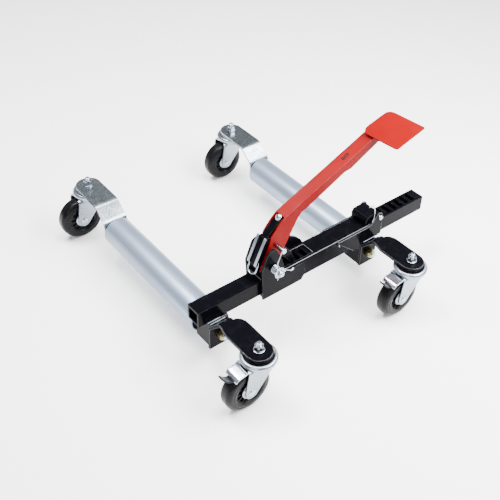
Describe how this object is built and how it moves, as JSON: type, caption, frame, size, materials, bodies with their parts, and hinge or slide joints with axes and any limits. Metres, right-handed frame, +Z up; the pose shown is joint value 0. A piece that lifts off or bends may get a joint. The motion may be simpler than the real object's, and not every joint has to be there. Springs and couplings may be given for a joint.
{
  "type": "wheel dolly jack",
  "caption": "Foot-pedal ratchet wheel dolly: two rollers on braked swivel casters squeeze together along a telescoping rail to lift a tyre.",
  "frame": {"origin": "on the floor under the centre of the bounding box", "axes": "+Z up, +X along the telescoping rail from the sliding bar's roller to the sleeve's roller, +Y along the rollers from the braked casters to the plain ones"},
  "size_m": [0.666, 0.704, 0.386],
  "materials": {
    "black_paint": "gloss black enamel",
    "red_paint": "gloss red enamel",
    "roller_steel": "satin silver coating",
    "zinc_plate": "bright zinc plate",
    "yellow_zinc": "yellow zinc plate",
    "spring_steel": "bare spring wire",
    "tyre": "black moulded rubber",
    "bush_plastic": "moulded black plastic"
  },
  "bodies": {
    "frame": {"rail_sleeve": "black_paint", "pedal_plate_near": "black_paint", "pedal_plate_far": "black_paint", "pedal_pivot_pin": "zinc_plate", "pedal_pivot_washer": "zinc_plate", "pedal_split_pin": "zinc_plate", "pedal_return_spring": "spring_steel", "lock_plate_near": "black_paint", "lock_plate_far": "black_paint", "lock_pin": "zinc_plate", "lock_spring": "spring_steel", "roller_bracket_right": "black_paint", "near_arm_right": "black_paint", "far_bracket_right": "zinc_plate", "roller_axle_right": "zinc_plate", "axle_nut_right_near": "yellow_zinc", "axle_nut_right_far": "zinc_plate", "caster_stem_near_right": "zinc_plate", "caster_nut_near_right": "zinc_plate", "caster_stem_far_right": "zinc_plate", "caster_nut_far_right": "zinc_plate"},
    "ratchet_bar": {"ratchet_bar": "black_paint", "roller_bracket_left": "black_paint", "near_arm_left": "black_paint", "far_bracket_left": "zinc_plate", "roller_axle_left": "zinc_plate", "axle_nut_left_near": "yellow_zinc", "axle_nut_left_far": "zinc_plate", "caster_stem_near_left": "zinc_plate", "caster_nut_near_left": "zinc_plate", "caster_stem_far_left": "zinc_plate", "caster_nut_far_left": "zinc_plate"},
    "pedal": {"pedal_lever": "red_paint", "foot_plate": "red_paint", "lever_cross_pin": "zinc_plate"},
    "drive_pawl": {"drive_pawl": "black_paint"},
    "latch_link": {"latch_link": "black_paint"},
    "latch_bail": {"latch_bail": "spring_steel"},
    "lock_pawl": {"lock_pawl": "black_paint"},
    "roller_left": {"roller_tube_left": "roller_steel", "roller_bush_left_near": "bush_plastic", "roller_bush_left_far": "bush_plastic"},
    "roller_right": {"roller_tube_right": "roller_steel", "roller_bush_right_near": "bush_plastic", "roller_bush_right_far": "bush_plastic"},
    "swivel_near_left": {"caster_fork_near_left": "zinc_plate", "caster_rivet_near_left": "zinc_plate"},
    "wheel_near_left": {"caster_wheel_near_left": "tyre"},
    "brake_left": {"brake_pedal_near_left": "zinc_plate"},
    "swivel_near_right": {"caster_fork_near_right": "zinc_plate", "caster_rivet_near_right": "zinc_plate"},
    "wheel_near_right": {"caster_wheel_near_right": "tyre"},
    "brake_right": {"brake_pedal_near_right": "zinc_plate"},
    "swivel_far_left": {"caster_fork_far_left": "zinc_plate", "caster_rivet_far_left": "zinc_plate"},
    "wheel_far_left": {"caster_wheel_far_left": "tyre"},
    "swivel_far_right": {"caster_fork_far_right": "zinc_plate", "caster_rivet_far_right": "zinc_plate"},
    "wheel_far_right": {"caster_wheel_far_right": "tyre"}
  },
  "joints": [
    {"name": "rail_slide", "type": "slide", "parent": "frame", "child": "ratchet_bar", "axis": [1, 0, 0], "range_m": [-0.13, 0.078]},
    {"name": "pedal_pivot", "type": "hinge", "parent": "frame", "child": "pedal", "pos_m": [-0.117, -0.1685, 0.172], "axis": [0, 1, 0], "range_deg": [0, 30], "stiffness_Nm_per_rad": 3, "springref_deg": -51.57, "deforming": ["pedal_return_spring"]},
    {"name": "drive_pawl_pivot", "type": "hinge", "parent": "pedal", "child": "drive_pawl", "pos_m": [-0.103, -0.1685, 0.215], "axis": [0, 1, 0], "range_deg": [-44, 2]},
    {"name": "latch_pivot", "type": "hinge", "parent": "pedal", "child": "latch_link", "pos_m": [-0.078, -0.1685, 0.256], "axis": [0, 1, 0], "range_deg": [0, 35]},
    {"name": "bail_pivot", "type": "hinge", "parent": "latch_link", "child": "latch_bail", "pos_m": [-0.1425, -0.1685, 0.181], "axis": [0, 1, 0], "range_deg": [-20, 25]},
    {"name": "lock_pawl_pivot", "type": "hinge", "parent": "frame", "child": "lock_pawl", "pos_m": [0.18, -0.1685, 0.158], "axis": [0, 1, 0], "range_deg": [0, 40], "stiffness_Nm_per_rad": 0.1, "springref_deg": -34.38, "deforming": ["lock_spring"]},
    {"name": "roller_spin_left", "type": "hinge", "parent": "ratchet_bar", "child": "roller_left", "pos_m": [-0.245, -0.1435, 0.071], "axis": [0, 1, 0], "continuous": true},
    {"name": "roller_spin_right", "type": "hinge", "parent": "frame", "child": "roller_right", "pos_m": [0.158, -0.1435, 0.071], "axis": [0, 1, 0], "continuous": true},
    {"name": "swivel_near_left", "type": "hinge", "parent": "ratchet_bar", "child": "swivel_near_left", "pos_m": [-0.246, -0.3155, 0.11], "axis": [0, 0, 1], "continuous": true},
    {"name": "wheel_spin_near_left", "type": "hinge", "parent": "swivel_near_left", "child": "wheel_near_left", "pos_m": [-0.276, -0.3155, 0.05], "axis": [0, 1, 0], "continuous": true},
    {"name": "brake_pivot_left", "type": "hinge", "parent": "swivel_near_left", "child": "brake_left", "pos_m": [-0.284, -0.3155, 0.1034], "axis": [0, 1, 0], "range_deg": [-8, 0]},
    {"name": "swivel_near_right", "type": "hinge", "parent": "frame", "child": "swivel_near_right", "pos_m": [0.1587, -0.3155, 0.11], "axis": [0, 0, 1], "continuous": true},
    {"name": "wheel_spin_near_right", "type": "hinge", "parent": "swivel_near_right", "child": "wheel_near_right", "pos_m": [0.1287, -0.3155, 0.05], "axis": [0, 1, 0], "continuous": true},
    {"name": "brake_pivot_right", "type": "hinge", "parent": "swivel_near_right", "child": "brake_right", "pos_m": [0.1207, -0.3155, 0.1034], "axis": [0, 1, 0], "range_deg": [-8, 0]},
    {"name": "swivel_far_left", "type": "hinge", "parent": "ratchet_bar", "child": "swivel_far_left", "pos_m": [-0.246, 0.3155, 0.11], "axis": [0, 0, 1], "continuous": true},
    {"name": "wheel_spin_far_left", "type": "hinge", "parent": "swivel_far_left", "child": "wheel_far_left", "pos_m": [-0.276, 0.3155, 0.05], "axis": [0, 1, 0], "continuous": true},
    {"name": "swivel_far_right", "type": "hinge", "parent": "frame", "child": "swivel_far_right", "pos_m": [0.1587, 0.3155, 0.11], "axis": [0, 0, 1], "continuous": true},
    {"name": "wheel_spin_far_right", "type": "hinge", "parent": "swivel_far_right", "child": "wheel_far_right", "pos_m": [0.1287, 0.3155, 0.05], "axis": [0, 1, 0], "continuous": true}
  ],
  "couplings": [
    {"joint": "drive_pawl_pivot", "follows": "pedal_pivot", "ratio": -1.44}
  ]
}
